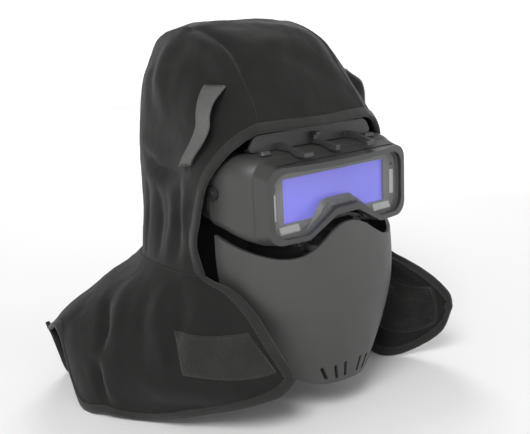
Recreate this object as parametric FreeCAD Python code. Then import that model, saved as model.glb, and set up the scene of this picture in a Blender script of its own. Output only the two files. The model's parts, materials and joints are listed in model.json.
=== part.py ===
import FreeCAD, Part
import math
import os
from FreeCAD import Vector

# Welding hood with auto-darkening goggles and a moulded lower-face mask.
# Everything is built in the goggles' own frame: origin at the centre of the filter window,
# +X to the wearer's left, +Y to the back of the head, +Z up. place() then moves each piece
# into the standing frame, whose origin is on the floor under the middle of the whole object.

os.makedirs("parts", exist_ok=True)

MID_Y = 105.8            # middle of the object, behind the filter window
STAND_H = 174.5          # height of the filter window's centre above the floor

# ---- driving dimensions, mm ------------------------------------------------------------
WINDOW_W, WINDOW_H = 102.0, 33.0     # clear view through the auto-darkening filter
CART_W, CART_TOP, CART_BOT = 129.6, 23.8, -24.9
CART_Y0, CART_Y1 = 0.5, 8.5          # front and back of the filter cartridge
WALL = 2.4                           # moulded walls of the goggles
MASK_T = 2.6                         # wall of the lower-face mask
CLOTH_T = 3.0                        # doubled flame-resistant cloth
TAPE_T = 1.3                         # edge binding and hook-and-loop tape
TAPE_GAP = 0.45                      # space that the tapes' stitching and pile take up
FRONT_R = 305.0                      # radius of the goggles' gently curved front
FIT = 0.3                            # clearance between parts that slide apart
HEAD_CENTRE = Vector(0, 105, -20)    # middle of the wearer's head


# ---- helpers ---------------------------------------------------------------------------
def place(shape):
    moved = shape.copy()
    moved.translate(Vector(0, -MID_Y, STAND_H))
    return moved


def save(node, *shapes):
    solids = [place(s) for s in shapes]
    whole = solids[0] if len(solids) == 1 else Part.makeCompound(solids)
    whole.exportStep("parts/%s.step" % node)
    box = whole.BoundBox
    print("%-24s %2d solid(s) %9.0f mm3  X %7.1f %7.1f  Y %7.1f %7.1f  Z %7.1f %7.1f  %s" % (
        node, len(whole.Solids), whole.Volume, box.XMin, box.XMax, box.YMin, box.YMax,
        box.ZMin, box.ZMax, "ok" if whole.isValid() else "BAD"))


def box(x0, x1, y0, y1, z0, z1):
    return Part.makeBox(x1 - x0, y1 - y0, z1 - z0, Vector(x0, y0, z0))


def rod(radius, start, end):
    axis = Vector(*end) - Vector(*start)
    return Part.makeCylinder(radius, axis.Length, Vector(*start), axis)


def mirrored(shape):
    return shape.mirror(Vector(0, 0, 0), Vector(1, 0, 0))


def rounded(corners, y):
    """Closed wire in the plane Y = y through (x, z, radius) corners, each rounded by an arc."""
    count = len(corners)
    starts, ends, mids = [], [], []
    for i, (x, z, radius) in enumerate(corners):
        here = Vector(x, y, z)
        before = Vector(corners[i - 1][0], y, corners[i - 1][1]) - here
        after = Vector(corners[(i + 1) % count][0], y, corners[(i + 1) % count][1]) - here
        half = before.getAngle(after) / 2
        before.normalize()
        after.normalize()
        cut = radius / math.tan(half)
        bisector = (before + after).normalize()
        starts.append(here + before * cut)
        ends.append(here + after * cut)
        mids.append(here + bisector * (radius / math.sin(half) - radius))
    edges = []
    for i in range(count):
        edges.append(Part.Arc(starts[i], mids[i], ends[i]).toShape())
        edges.append(Part.LineSegment(ends[i], starts[(i + 1) % count]).toShape())
    return Part.Wire(edges)


def rounded_flat(corners, z):
    """The same, lying flat at height z, through (x, y, radius) corners."""
    wire = rounded(corners, 0)
    wire.rotate(Vector(0, 0, 0), Vector(1, 0, 0), -90)
    wire.translate(Vector(0, 0, z))
    return wire


def goggle_wire(y, half_w, top, bottom, arch, foot=36.0, crown=11.0, r_top=12.0, r_bottom=11.0):
    """Outline of the goggles at depth y: a rounded box with a nose arch in its lower edge."""
    return rounded([
        (-half_w, top, r_top), (half_w, top, r_top), (half_w, bottom, r_bottom),
        (foot, bottom, 9.0), (crown, arch, 9.0), (-crown, arch, 9.0), (-foot, bottom, 9.0),
        (-half_w, bottom, r_bottom)], y)


def goggle_loft(*sections):
    return Part.makeLoft([goggle_wire(*s) for s in sections], True, False)


def front_cylinder(front_y):
    """Solid whose front is the goggles' curved face, at depth front_y in the middle."""
    return Part.makeCylinder(FRONT_R, 200, Vector(0, front_y + FRONT_R, -100), Vector(0, 0, 1))


def refine(points, steps):
    """Points along a smooth curve through the given ones, with so many steps to each span."""
    points = [Vector(*p) for p in points]
    ends = [points[0] * 2 - points[1]] + points + [points[-1] * 2 - points[-2]]
    curve = []
    for a, b, c, d in zip(ends, ends[1:], ends[2:], ends[3:]):
        for k in range(steps):
            t = k / steps
            curve.append((b * 2 + (c - a) * t + (a * 2 - b * 5 + c * 4 - d) * t ** 2
                          + (b * 3 - a - c * 3 + d) * t ** 3) * 0.5)
    return curve + [points[-1]]


def net_surface(rows):
    """Cubic surface that follows a net of points; it never swings outside the net."""
    knots = []
    for size in (len(rows), len(rows[0])):
        inner = size - 3
        knots.append(([4] + [1] * (inner - 1) + [4], [k / inner for k in range(inner + 1)]))
    surface = Part.BSplineSurface()
    surface.buildFromPolesMultsKnots([[Vector(*p) for p in row] for row in rows],
                                     knots[0][0], knots[1][0], knots[0][1], knots[1][1],
                                     False, False, 3, 3)
    return surface


def grid_surface(rows, steps=4):
    """Smooth surface through a coarse net of points."""
    along = [refine(row, steps) for row in rows]
    across = [refine(column, steps) for column in zip(*along)]
    return net_surface([list(row) for row in zip(*across)])


def close_sheet(sides):
    """Solid between two surfaces that run side by side, closed by ruled edges."""
    faces = [side.toShape() for side in sides]
    for k in range(4):
        rims = []
        for side in sides:
            u0, u1, v0, v1 = side.bounds()
            rims.append([side.uIso(u0), side.uIso(u1), side.vIso(v0), side.vIso(v1)][k].toShape())
        faces.append(Part.makeRuledSurface(rims[0], rims[1]))
    shell = Part.makeShell(faces)
    shell.sewShape()
    solid = Part.Solid(shell)
    if solid.Volume < 0:
        solid.reverse()
    return solid


WHOLE = ((0, 0), (1, 0), (1, 1), (0, 1))


def slab(surface, low, high, corners=WHOLE, count=(12, 12)):
    """Sheet between two outward offsets (low, high) from a surface, inside four (u, v) corners."""
    (u00, v00), (u10, v10), (u11, v11), (u01, v01) = corners
    middle = surface.value(0.5, 0.5) - HEAD_CENTRE
    outward = math.copysign(1, surface.normal(0.5, 0.5).dot(middle))
    sides = []
    for offset in (low, high):
        rows = []
        for i in range(count[0]):
            s = i / (count[0] - 1)
            row = []
            for j in range(count[1]):
                t = j / (count[1] - 1)
                u = (u00 * (1 - s) + u10 * s) * (1 - t) + (u01 * (1 - s) + u11 * s) * t
                v = (v00 * (1 - s) + v10 * s) * (1 - t) + (v01 * (1 - s) + v11 * s) * t
                row.append(surface.value(u, v) + surface.normal(u, v) * offset * outward)
            rows.append(row)
        sides.append(net_surface(rows))
    return close_sheet(sides)


# ---- goggles ---------------------------------------------------------------------------
# sections: y, half width, top, bottom, top of the nose arch
HOUSING = [
    (-1.0, 67.8, 27.4, -27.8, -20.5), (8.7, 67.8, 27.4, -27.8, -20.5)]
HOUSING_REAR = [
    (8.7, 71.2, 30.4, -30.6, -20.5, 36, 11, 14), (17.0, 76.6, 32.4, -28.5, -19.0, 36, 11, 15),
    (28.0, 79.4, 33.4, -26.0, -16.0, 36, 11, 16), (46.0, 80.4, 33.4, -22.5, -11.0, 36, 11, 17)]


def shrink(section, by, y_shift=0.0):
    y, half_w, top, bottom, arch = section[:5]
    return (y + y_shift, half_w - by, top - by, bottom + by, arch + by) + section[5:]


def goggle_housing():
    spigot = goggle_loft(*HOUSING)
    rear = goggle_loft(*HOUSING_REAR)
    tunnel = Part.makeLoft([
        rounded([(-30, -25.4, 1), (-14, -6.4, 9), (14, -6.4, 9), (30, -25.4, 1)], -3.4),
        rounded([(-31.5, -25.4, 1), (-15, -3.5, 10), (15, -3.5, 10), (31.5, -25.4, 1)], 0.2)],
        True, False)
    under = Part.makeLoft([
        rounded([(-29, -29, 1), (-12.6, -8.6, 7), (12.6, -8.6, 7), (29, -29, 1)], -3.6),
        rounded([(-30.5, -29, 1), (-13.6, -5.7, 8), (13.6, -5.7, 8), (30.5, -29, 1)], 0.4)],
        True, False)
    inner_front = [shrink(s, WALL) for s in HOUSING]
    inner_front[0] = shrink(HOUSING[0], WALL, -1.0)
    inner_front[1] = shrink(HOUSING[1], WALL, 2.6)
    inner_rear = [shrink(s, WALL + 0.4) for s in HOUSING_REAR]
    inner_rear[0] = (11.2, 65.4, 24.6, -24.8, -17.8, 36, 11, 12)
    inner_rear[3] = shrink(HOUSING_REAR[3], WALL + 0.4, 1.0)
    shell = spigot.fuse(rear).cut(goggle_loft(*inner_front)).cut(goggle_loft(*inner_rear))
    shell = shell.fuse(tunnel.cut(under))
    for x in (-57, -43, 43, 57):                       # hot-air vents along the top
        shell = shell.cut(box(x - 5, x + 5, 38, 41, 25, 40))
    for x, y in SCREWS:
        shell = shell.cut(rod(1.1, (x, y, 28), (x, y, 40)))
    return shell.cut(rod(CLIP_R, (-90, CLIP_Y, CLIP_Z), (90, CLIP_Y, CLIP_Z)))


def front_bezel():
    outer = goggle_loft((-15.0, 68.0, 26.0, -28.0, -14.1), (-6.0, 68.8, 27.0, -28.8, -14.1),
                        (8.4, 71.2, 30.2, -30.8, -16.0))
    spigot = goggle_loft((-4.0, 67.8 + FIT, 27.4 + FIT, -27.8 - FIT, -21.0),
                         (9.0, 67.8 + FIT, 27.4 + FIT, -27.8 - FIT, -21.0))
    opening = goggle_loft((-16.0, 63.2, 21.6, -24.2, -9.9), (-3.9, 64.6, 23.4, -25.2, -6.8))
    lens_seat = goggle_loft((-9.6, 65.6, 24.0, -26.4, -9.2), (-3.9, 65.6, 24.0, -26.4, -6.7))
    lens_seat = lens_seat.common(front_cylinder(-9.6))
    ring = outer.cut(spigot).cut(opening).cut(lens_seat)
    return ring.common(front_cylinder(-12.8))


def cover_lens():
    blank = goggle_loft((-12.0, 65.2, 23.6, -25.2, -8.4), (1.0, 65.2, 23.6, -25.2, -5.0))
    return blank.common(front_cylinder(-9.3)).cut(front_cylinder(-7.7))


def lens_gasket():
    outer = goggle_loft((-12.0, 65.2, 23.6, -25.2, -8.4), (2.0, 65.2, 23.6, -25.2, -5.0))
    inner = goggle_loft((-13.0, 63.2, 21.6, -23.4, -5.4), (3.0, 63.2, 21.6, -23.4, -2.6))
    return outer.cut(inner).common(front_cylinder(-7.6)).cut(front_cylinder(-6.7))


def cart_wire(y, inset=0.0):
    half = CART_W / 2 - inset
    top, bottom = CART_TOP - inset, CART_BOT + inset
    return rounded([(-half, top, 10.5), (half, top, 10.5), (half, bottom, 10.5), (38, bottom, 3),
                    (24, -18.0 + inset, 3), (-24, -18.0 + inset, 3), (-38, bottom, 3),
                    (-half, bottom, 10.5)], y)


def prism(wire, depth):
    return Part.Face(wire).extrude(Vector(0, depth, 0))


def filter_frame():
    body = prism(cart_wire(CART_Y0), CART_Y1 - CART_Y0)
    window = box(-WINDOW_W / 2, WINDOW_W / 2, -1, 10, -WINDOW_H / 2, WINDOW_H / 2)
    pocket = box(-54.5, 54.5, 2.4, 6.4, -17.4, 21.0)          # holds the glass and the board
    frame = body.cut(window).cut(pocket)
    for side in (-1, 1):
        cell = box(57.6, 61.9, -1, 1.3, -12.4, 6.9)
        eye = box(58.0, 61.4, -1, 1.3, 9.6, 12.6)
        battery = rod(4.75, (side * 59.4, 3.3, -1), (side * 59.4, 6.1, -1))
        frame = frame.cut(cell if side > 0 else mirrored(cell))
        frame = frame.cut(eye if side > 0 else mirrored(eye)).cut(battery)
    for x, z in BUTTONS:
        frame = frame.cut(rod(2.0 + FIT / 2, (x, 6.8, z), (x, 10, z)))
    return frame


BUTTONS = [(-44.0, 20.5), (-34.0, 20.5), (44.0, 20.5)]        # shade, sensitivity, delay


def nose_ledge():
    """Pale sloping ledge in front of each lower window corner."""
    side = Part.Face(Part.makePolygon([Vector(38, 0.2, -17.6), Vector(38, 0.2, -22.8),
                                       Vector(38, -1.8, -22.8), Vector(38, -1.8, -21.8),
                                       Vector(38, 0.2, -17.6)]))
    return side.extrude(Vector(18, 0, 0))


def filter_glass():
    return box(-54.2, 54.2, 2.6, 5.8, -17.2, 16.9)


def control_board():
    """Circuit board above the glass, with its driver chip and two contacts."""
    board = box(-54.0, 54.0, 2.8, 4.2, 17.3, 20.7)
    chip = box(-6, 6, 4.2, 5.4, 17.6, 20.4)
    return board.fuse(chip).fuse(box(20, 23, 4.2, 5.0, 17.8, 20.2))


def solar_cell():
    return box(57.8, 61.7, 0.5, 1.2, -12.2, 6.7)


def arc_sensor():
    return rod(1.3, (59.7, 0.4, 11.1), (59.7, 1.2, 11.1))


def battery_cell():
    return rod(4.6, (59.4, 3.4, -1), (59.4, 6.0, -1))


def control_button(x, z):
    cap = rod(2.0, (x, 7.8, z), (x, 9.4, z))
    return cap.fuse(rod(1.5, (x, 9.4, z), (x, 10.0, z)))


def inner_lens():
    return box(-56.2, 56.2, 8.9, 10.3, -16.9, 17.2)


def filter_retainer():
    """Snap-in frame that holds the inner lens against the cartridge; slots clear the buttons."""
    outer = prism(cart_wire(8.8, 0.4), 1.8)
    plate = outer.cut(box(-56.5, 56.5, 8, 12, -17.2, 17.5))
    for x0, x1 in ((-46.8, -31.2), (41.2, 46.8)):
        plate = plate.cut(box(x0, x1, 8, 12, 18.2, 22.7))
    return plate


def brow_guard():
    plate = rounded([(-62, 33.8, 3), (-56, 46, 8), (56, 46, 8), (62, 33.8, 3)], 24.4)
    plate = Part.Face(plate).extrude(Vector(0, 2.4, 0))
    guard = plate.fuse(box(-58, 58, 26.8, 34, 33.8, 36.0))
    for x, y in SCREWS:
        guard = guard.cut(rod(1.1, (x, y, 30), (x, y, 40)))
    return guard


def adapter_rail():
    """Wedge rail with an L-shaped front foot, on the right half of the goggles' top."""
    side = Part.Face(Part.makePolygon([
        Vector(-35.6, 22.4, 33.7), Vector(-35.6, 22.4, 38.8), Vector(-35.6, 19, 38.8),
        Vector(-35.6, -1.5, 34.6), Vector(-35.6, -4.5, 34.4), Vector(-35.6, -4.5, 30.9),
        Vector(-35.6, 3, 30.9), Vector(-35.6, 10.0, 33.7), Vector(-35.6, 22.4, 33.7)]))
    blade = side.extrude(Vector(2.6, 0, 0))
    foot = box(-33.0, -27.0, -6.5, -3.5, 31.0, 33.8)
    toe = box(-35.6, -33.0, -6.5, -4.5, 31.0, 33.8)
    return blade.fuse(foot).fuse(toe)


def centre_hook():
    post = box(-2.2, 2.2, 20.6, 24.1, 33.8, 42.6)
    hook = box(-2.2, 2.2, 17.6, 20.6, 40.4, 42.6)
    rail = Part.Face(Part.makePolygon([
        Vector(-2.2, 20.6, 33.8), Vector(-2.2, 20.6, 37), Vector(-2.2, -0.5, 35.0),
        Vector(-2.2, -3.0, 34.6), Vector(-2.2, -3.0, 31.0), Vector(-2.2, 4, 31.0),
        Vector(-2.2, 11, 33.8), Vector(-2.2, 20.6, 33.8)])).extrude(Vector(4.4, 0, 0))
    return post.fuse(hook).fuse(rail)


SCREWS = [(-48.0, 30.4), (0.0, 30.4), (48.0, 30.4)]           # brow guard, x and y


def brow_screw(x, y):
    """Small pan-head screw down through the guard's foot into the housing."""
    shank = rod(1.1, (x, y, 31.4), (x, y, 36.0))
    return shank.fuse(rod(2.2, (x, y, 36.0), (x, y, 37.3)))


def snap_stud():
    """Tear-drop boss on the goggles' top."""
    return Part.makeLoft([
        rounded_flat([(47, 14, 2.4), (57, 14, 2.4), (57, 21, 2.4), (47, 21, 2.4)], 32.9),
        rounded_flat([(48.4, 15.4, 1.8), (55.8, 15.4, 1.8), (55.8, 19.6, 1.8), (48.4, 19.6, 1.8)],
                     35.4)], True, False)


def face_seal_frame():
    outer = goggle_loft((46.4, 80.2, 33.2, -22.3, -10.8), (50.0, 80.6, 33.2, -22.0, -10.2))
    inner = goggle_loft((46.0, 73.5, 27.5, -17.5, -4.5), (51.0, 73.5, 27.5, -17.5, -4.0))
    return outer.cut(inner)


def face_seal():
    """Foam cushion that rests on the brow, temples and cheeks; deeper at the temples."""
    outer = goggle_loft((50.3, 79.6, 32.4, -21.2, -9.4), (62.0, 78.6, 31.4, -20.4, -8.0),
                        (70.0, 77.4, 30.2, -19.4, -7.0))
    inner = goggle_loft((50.0, 69.0, 24.5, -14.8, -1.8), (71.0, 66.0, 23.0, -13.4, 0.5))
    brow = Part.makeCylinder(92, 80, Vector(0, 148, -40), Vector(0, 0, 1))
    return outer.cut(inner).cut(brow)


# ---- lower-face mask -------------------------------------------------------------------
MASK_BACK = 50.0                                   # depth of the mask's rear edge
# height, half width, depth of the front, per level from the top edge down to the chin lip
MASK = [(-28.0, 78.0, -15.0), (-50.0, 78.2, -19.5), (-75.0, 75.0, -23.0),
        (-100.0, 67.0, -20.5), (-125.0, 56.0, -16.0), (-148.0, 44.0, -10.5)]
MASK_POWER = 2.3                                   # squareness of its plan section


def mask_point(level, turn, inset=0.0):
    """Point on the mask at a level (z, half width, front), turned from -90 to 90 degrees."""
    z, half_w, front = level
    reach = MASK_BACK - front - inset
    s, c = math.sin(turn), math.cos(turn)
    x = (half_w - inset) * math.copysign(abs(s) ** (2 / MASK_POWER), s)
    return (x, MASK_BACK - reach * max(c, 0.0) ** (2 / MASK_POWER), z)


def mask_top(turn):
    """Height of the mask's top edge: a nose peak, a dip under the goggles, high at the ears."""
    side = abs(math.degrees(turn)) / 90
    nose = 22.0 * math.exp(-(side / 0.20) ** 2)
    ear = 14.0 * max(0.0, (side - 0.45) / 0.55) ** 1.3
    return -41.5 + nose + ear


def mask_bottom(turn):
    """Height of the chin lip, which climbs along the jaw towards the ears."""
    side = abs(math.degrees(turn)) / 90
    return MASK[-1][0] + 34.0 * max(0.0, side - 0.35) ** 1.5


def level_at(z):
    """Mask level (z, half width, front) at any height, by a smooth curve through MASK."""
    for upper, lower in zip(MASK, MASK[1:]):
        if z >= lower[0] or lower is MASK[-1]:
            t = (z - upper[0]) / (lower[0] - upper[0])
            return (z,) + tuple(a + (b - a) * t for a, b in zip(upper[1:], lower[1:]))


def mask_shell():
    turns = [math.radians(-90 + 180 * i / 24) for i in range(25)]
    sides = []
    for inset in (0.0, MASK_T):
        rows = []
        for turn in turns:
            top = mask_top(turn)
            bottom = mask_bottom(turn)
            levels = [top + (bottom - top) * k / 8 for k in range(9)]
            rows.append([mask_point(level_at(z), turn, inset) for z in levels])
        sides.append(net_surface(rows))
    solid = close_sheet(sides)
    for side in (-1, 1):                           # three tapered breathing slots each side
        for x, z, tilt in ((7, -137, 8), (15, -138, 16), (24, -138, 26)):
            slot = box(-1.2, 1.2, -40, 20, -6.5, 6.5)
            slot.rotate(Vector(0, 0, 0), Vector(0, 1, 0), side * tilt)
            slot.translate(Vector(side * x, 0, z))
            solid = solid.cut(slot)
    return solid.fuse(mask_lug()).fuse(mirrored(mask_lug()))



# ---- mask hinge ------------------------------------------------------------------------
PIVOT = (5.0, -35.5)                   # y and z of the hinge line under the goggles
PIN_R = 1.5


def mask_lug():
    """Ear inside the mask, beside the nose, with the hinge pin's bore."""
    ear = rod(3.6, (28.0, *PIVOT), (31.0, *PIVOT))
    arm = box(28.0, 31.0, -12.6, 5.0, -39.0, -34.4)
    return ear.fuse(arm).cut(rod(PIN_R + 0.05, (20, *PIVOT), (40, *PIVOT)))


def mask_bracket():
    """Forked bracket under the goggles that carries the hinge pin."""
    fork = box(25.2, 33.8, 9.4, 13.4, -39.0, -26.8)
    for x in (25.2, 31.6):
        fork = fork.fuse(box(x, x + 2.2, 0.8, 9.4, -39.0, -31.6))
    return fork.cut(rod(PIN_R, (20, *PIVOT), (40, *PIVOT)))


def mask_pin():
    return rod(PIN_R, (25.2, *PIVOT), (33.8, *PIVOT))


def inner_patch(turn_deg, top, bottom, inset, thick):
    """Pad that lines the inside of the mask, between two heights and two turns."""
    sides = []
    for depth in (inset, inset + thick):
        rows = []
        for i in range(9):
            turn = math.radians(turn_deg * (i / 4 - 1))
            rows.append([mask_point(level_at(top + (bottom - top) * k / 4), turn, depth)
                         for k in range(5)])
        sides.append(net_surface(rows))
    return close_sheet(sides)


def vent_baffle():
    return inner_patch(42, -128, -146, MASK_T + 0.5, 1.8)


def chin_pad():
    return inner_patch(26, -106, -124, MASK_T + 0.5, 7.0)


# ---- head strap ------------------------------------------------------------------------
STRAP_H, STRAP_T = 25.0, 1.6
CLIP_Y, CLIP_Z = 43.0, 6.0             # swivel point of the strap clips
CLIP_R = 1.6                           # radius of the clips' pins


def strap_path(inset):
    """Strap line from the left clip round the back of the head, in plan."""
    return [(81.2 - inset, 66), (78 - inset, 92), (72 - inset, 122), (62 - inset, 148),
            (42, 173 - inset), (24, 180 - inset), (0, 181 - inset)]


def strap_surface():
    half = strap_path(0)
    whole = half[:-1] + [half[-1]] + [(-x, y) for x, y in reversed(half[:-1])]
    levels = [CLIP_Z + STRAP_H * (k / 3 - 0.5) for k in range(4)]
    return grid_surface([[(x, y, z) for x, y in whole] for z in levels])


def head_strap():
    return slab(strap_surface(), -STRAP_T, 0.0, count=(4, 41))


def strap_slider():
    """Three-bar buckle that slides on the straight stretch behind the head."""
    body = box(-9, 9, 176.8, 184.6, CLIP_Z - 17, CLIP_Z + 17)
    slot = box(-10, 10, 178.4, 182.4, CLIP_Z - 13.6, CLIP_Z + 13.6)
    window = box(-5.5, 5.5, 182, 185, CLIP_Z - 12, CLIP_Z + 12)
    bar = box(-1.5, 1.5, 182.9, 184.6, CLIP_Z - 12.5, CLIP_Z + 12.5)
    return body.cut(slot).cut(window).fuse(bar)


def strap_clip():
    """Flat side buckle that swivels on its pin at the temple."""
    plate = rod(5.0, (80.9, CLIP_Y, CLIP_Z), (82.3, CLIP_Y, CLIP_Z))
    plate = plate.fuse(box(80.9, 82.3, CLIP_Y, CLIP_Y + 8, CLIP_Z - 4, CLIP_Z + 4))
    plate = plate.fuse(box(80.9, 82.3, CLIP_Y + 7, CLIP_Y + 19, CLIP_Z - 14.5, CLIP_Z + 14.5))
    slot = box(80, 83, CLIP_Y + 13.5, CLIP_Y + 16.5, CLIP_Z - 12.8, CLIP_Z + 12.8)
    return plate.cut(slot).cut(rod(CLIP_R + 0.05, (80, CLIP_Y, CLIP_Z), (84, CLIP_Y, CLIP_Z)))


def clip_pin():
    """Headed pin pressed through the housing's side wall from inside."""
    shank = rod(CLIP_R, (74.8, CLIP_Y, CLIP_Z), (82.6, CLIP_Y, CLIP_Z))
    return shank.fuse(rod(2.8, (73.8, CLIP_Y, CLIP_Z), (75.2, CLIP_Y, CLIP_Z)))


# ---- cloth hood ------------------------------------------------------------------------
# Each list runs along one seam or edge; together they span a panel. Left side is +X.
CROWN_SEAM = [(55.5, 19.5, 50), (50.5, 40.4, 83.4), (50.4, 64, 109), (50, 98, 120.5),
              (50, 132, 122), (46, 165, 112), (51, 181, 84), (54, 187, 52), (55, 190, 15),
              (56, 190.5, -22), (57, 188, -62)]
CROWN_QUARTER = [(29, 15.5, 50), (26, 34, 83.5), (26, 57, 111.5), (26, 94, 123.6),
                 (26, 132, 125.6), (25, 171, 115), (27, 188, 85.5), (30, 195, 53),
                 (30, 197.5, 15), (30, 197, -22), (30, 194.5, -62)]
CROWN_MIDDLE = [(0, 13.5, 49.5), (0, 31, 82.5), (0, 54, 111.5), (0, 92, 124.2), (0, 132, 126),
                (0, 173, 115), (0, 190.5, 86), (0, 198, 53), (0, 200, 15), (0, 199.5, -22),
                (0, 197, -62)]
SIDE = [                                            # from the crown seam down to the neck
    [(56.8, 20, 49), (52, 41, 82.6), (51.8, 65, 107.6), (51.6, 98, 119), (51.5, 131, 120.6),
     (47.6, 164.5, 110.6)],
    [(69, 24, 44), (65, 47, 71), (63, 72, 95), (63, 100, 105), (62.5, 132, 106.5),
     (49.8, 171.5, 100)],
    [(81.5, 33, 31), (80, 55, 54), (76.5, 80, 75), (77, 108, 82), (73, 140, 83), (52.8, 180.3, 82)],
    [(88.8, 43.5, 13), (87, 64, 31), (82.5, 90, 46), (80, 116, 49), (76, 147, 49), (55.6, 185.8, 52)],
    [(91, 51, -13), (89.5, 73, 1), (84, 98, 11), (80.5, 124, 13), (75, 153, 13), (57.0, 188.6, 15)],
    [(91, 59, -36), (90, 79, -28), (88, 103, -22), (84, 130, -21), (76, 157, -21),
     (57.4, 189.2, -22)],
    [(88, 54, -57), (96, 75, -56), (97, 100, -56), (92, 128, -58), (80, 159, -61),
     (58.4, 186.8, -61.6)]]
RIGHT_BIB = [                                       # closed flap, front edge to rear slit
    [(88, 53, -59.5), (82, 29, -64), (75, 12, -79), (69.5, 1, -97), (61.5, -2, -113),
     (58, -14, -129)],
    [(93, 64, -58.5), (95, 46, -72), (92, 28, -90), (87, 13, -108), (80, 1, -125), (73, -9, -140)],
    [(96, 76, -58), (104, 62, -77), (106, 46, -98), (104, 32, -118), (99, 19, -137),
     (92, 14, -151)],
    [(98, 90, -58), (112, 80, -80), (119, 68, -103), (121, 56, -126), (118, 47, -147),
     (112, 44, -162)],
    [(97, 108, -59), (118, 102, -82), (131, 95, -106), (137, 88, -130), (136, 82, -152),
     (129, 80, -172)],
    [(92, 126, -60), (117, 124, -80), (137, 121, -103), (148, 118, -128), (151, 115, -151),
     (150, 112, -171)],
    [(84, 148, -62.5), (110, 150, -79), (133, 152, -97), (149, 153, -117), (156, 150, -140),
     (157, 145, -171)],
    [(78, 160, -64), (104, 168, -78), (126, 174, -93), (142, 178, -105), (150, 180, -114),
     (154, 181, -119)],
    [(73, 170, -65), (98, 181, -79), (119, 191, -94), (135, 202, -108), (144, 208, -118),
     (150, 214, -127)]]
LEFT_FLAP = [                                       # flap swung open, up to the shoulder
    [(88, 53, -59.5), (92, 36, -73), (103, 18, -85), (115, 5, -97), (125, -5, -112),
     (128, -7, -124)],
    [(92, 62, -58.5), (99, 48, -78), (108, 34, -98), (117, 20, -118), (124, 8, -136),
     (126, 4, -150)],
    [(95, 72, -58), (104, 60, -82), (108, 46, -106), (110, 33, -130), (111, 26, -151),
     (110, 24, -168)],
    [(97, 82, -58), (109, 74, -84), (112, 62, -110), (106, 50, -134), (98, 44, -156),
     (92, 42, -174)],
    [(98, 94, -58), (116, 90, -84), (124, 82, -108), (118, 74, -132), (108, 72, -154),
     (103, 74, -174)],
    [(97, 108, -59), (120, 106, -84), (134, 104, -106), (138, 102, -129), (136, 102, -152),
     (134, 102, -174)]]
BACK_BIB = [                                        # from the left slit to the middle
    [(70.5, 172.5, -65), (96.5, 184, -80), (118, 194, -95.5), (136.5, 204.5, -110.5),
     (148.5, 216, -127), (147, 213, -150), (145, 209, -174.2)],
    [(50, 191, -65.5), (62, 203, -82), (74, 213, -99), (84, 220, -117), (91, 226, -135),
     (95, 229, -154), (97, 230, -174.2)],
    [(0, 199, -65.5), (0, 208, -82), (0, 216, -100), (0, 222, -118), (0, 227, -136),
     (0, 230, -155), (0, 232, -174.2)]]


def flip(points):
    return [(-x, y, z) for x, y, z in points]


def crown_surface():
    return grid_surface([CROWN_SEAM, CROWN_QUARTER, CROWN_MIDDLE, flip(CROWN_QUARTER),
                         flip(CROWN_SEAM)])


def left_side_surface():
    return grid_surface(SIDE)


def right_side_surface():
    return grid_surface([flip(row) for row in SIDE])


def right_bib_surface():
    return grid_surface([flip(column) for column in RIGHT_BIB])


def left_bib_surface():
    return grid_surface(LEFT_FLAP + RIGHT_BIB[5:])


def back_bib_surface():
    return grid_surface(BACK_BIB + [flip(column) for column in reversed(BACK_BIB[:-1])])


def cloth(surface, count=(14, 14)):
    return slab(surface, -CLOTH_T, 0.0, count=count)


def tape(surface, corners, count=(12, 5)):
    """Tape sewn on the outer face of a panel."""
    return slab(surface, TAPE_GAP, TAPE_GAP + TAPE_T, corners, count)


def inner_tape(surface, corners, count=(12, 5)):
    """Tape sewn on the inner face of a panel."""
    return slab(surface, -CLOTH_T - 2 * TAPE_GAP - TAPE_T, -CLOTH_T - 2 * TAPE_GAP, corners, count)


def along_u(start, end, near, far):
    return ((start, near), (end, near), (end, far), (start, far))


def along_v(start, end, near, far):
    return ((near, start), (near, end), (far, end), (far, start))


def opening_binding():
    """Folded tape round the face opening: over the brow and down both sides."""
    return [tape(crown_surface(), along_u(0.02, 0.98, 0.0, 0.035), (20, 5)),
            tape(left_side_surface(), along_u(0.03, 0.98, 0.0, 0.065), (24, 5)),
            tape(right_side_surface(), along_u(0.03, 0.98, 0.0, 0.065), (24, 5))]


def bib_binding(surface):
    """Folded tape down a flap's front edge and along its hem."""
    return [tape(surface, along_v(0.03, 0.925, 0.0, 0.028), (20, 4)),
            tape(surface, along_u(0.0, 0.985, 0.93, 0.99), (48, 4))]


# middle lines of the pull loops, on the +X side, and the way the webbing's width lies there
LOOSE_LOOP = [(65.0, 55.5, 81.1), (69.7, 54.3, 77.3), (76.1, 51.9, 71.6), (81.7, 48.6, 63.2),
              (84.3, 46.5, 53.7), (87.2, 50.4, 43.7), (89.4, 60.4, 31.3), (89.1, 65.7, 24.8)]
FLAT_LOOP = [(63.9, 55.2, 82.2), (69.9, 56.6, 78.4), (76.8, 56.9, 72.3), (82.8, 60.7, 64.6),
             (85.3, 62.7, 55.4), (86.9, 64.4, 46.2), (87.7, 67.5, 37.9), (88.3, 68.8, 27.9)]
LOOP_TURN = [(-0.49, -0.87, -0.05), (-0.35, -0.93, -0.05), (-0.12, -0.99, 0), (0.03, -1.0, 0),
             (0.05, -1.0, 0), (0.05, -0.99, 0.05), (0.05, -0.98, 0.15), (0.05, -0.98, 0.15)]
LOOP_W = 17.0


def webbing_loop(line):
    """Pull loop of webbing that stands off the hood between its two sewn ends."""
    rows = []
    for shift in (-0.5, -0.17, 0.17, 0.5):
        rows.append([Vector(*p) + Vector(*way) * (LOOP_W * shift)
                     for p, way in zip(line, LOOP_TURN)])
    return slab(grid_surface(rows), 0.2, 0.2 + TAPE_T, count=(4, 24))


def both(shape):
    return [shape, mirrored(shape)]


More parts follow.
